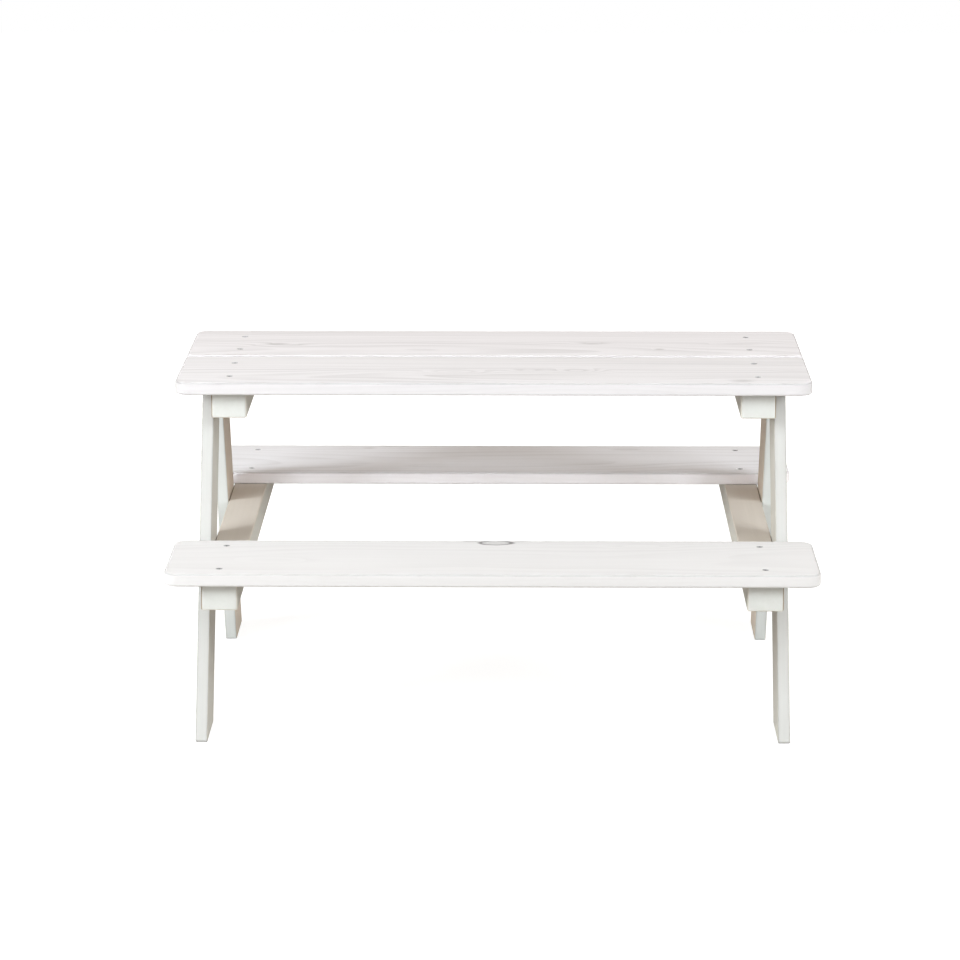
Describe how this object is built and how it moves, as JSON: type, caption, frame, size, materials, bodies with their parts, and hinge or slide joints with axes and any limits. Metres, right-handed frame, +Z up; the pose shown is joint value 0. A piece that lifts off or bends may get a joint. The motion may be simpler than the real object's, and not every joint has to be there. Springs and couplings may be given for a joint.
{
  "type": "kids picnic table",
  "caption": "Low wooden picnic table for children: a boarded top and a bench on each side, carried by splayed A-frame ends.",
  "frame": {"origin": "on the floor, under the middle of the table", "axes": "+X along the boards, +Y from the front bench to the rear bench, +Z up"},
  "size_m": [0.9, 0.8202, 0.49],
  "materials": {
    "glazed_pine": "white-glazed softwood, satin, faint grey grain",
    "off_white_paint": "opaque off-white satin paint on planed softwood",
    "screw_steel": "zinc-plated countersunk screws"
  },
  "bodies": {
    "root": {"bench_board_front": "glazed_pine", "bench_board_rear": "glazed_pine", "bench_screw_front_left_inner": "screw_steel", "bench_screw_front_left_outer": "screw_steel", "bench_screw_front_right_inner": "screw_steel", "bench_screw_front_right_outer": "screw_steel", "bench_screw_rear_left_inner": "screw_steel", "bench_screw_rear_left_outer": "screw_steel", "bench_screw_rear_right_inner": "screw_steel", "bench_screw_rear_right_outer": "screw_steel", "leg_front_left": "off_white_paint", "leg_front_right": "off_white_paint", "leg_rear_left": "off_white_paint", "leg_rear_right": "off_white_paint", "seat_rail_left": "off_white_paint", "seat_rail_right": "off_white_paint", "seat_rail_screw_front_left_lower": "screw_steel", "seat_rail_screw_front_left_upper": "screw_steel", "seat_rail_screw_front_right_lower": "screw_steel", "seat_rail_screw_front_right_upper": "screw_steel", "seat_rail_screw_rear_left_lower": "screw_steel", "seat_rail_screw_rear_left_upper": "screw_steel", "seat_rail_screw_rear_right_lower": "screw_steel", "seat_rail_screw_rear_right_upper": "screw_steel", "tabletop_board_front": "glazed_pine", "tabletop_board_rear": "glazed_pine", "tabletop_screw_front_left_inner": "screw_steel", "tabletop_screw_front_left_outer": "screw_steel", "tabletop_screw_front_right_inner": "screw_steel", "tabletop_screw_front_right_outer": "screw_steel", "tabletop_screw_rear_left_inner": "screw_steel", "tabletop_screw_rear_left_outer": "screw_steel", "tabletop_screw_rear_right_inner": "screw_steel", "tabletop_screw_rear_right_outer": "screw_steel", "top_rail_left": "off_white_paint", "top_rail_right": "off_white_paint", "top_rail_screw_front_left_lower": "screw_steel", "top_rail_screw_front_left_upper": "screw_steel", "top_rail_screw_front_right_lower": "screw_steel", "top_rail_screw_front_right_upper": "screw_steel", "top_rail_screw_rear_left_lower": "screw_steel", "top_rail_screw_rear_left_upper": "screw_steel", "top_rail_screw_rear_right_lower": "screw_steel", "top_rail_screw_rear_right_upper": "screw_steel"}
  },
  "joints": []
}
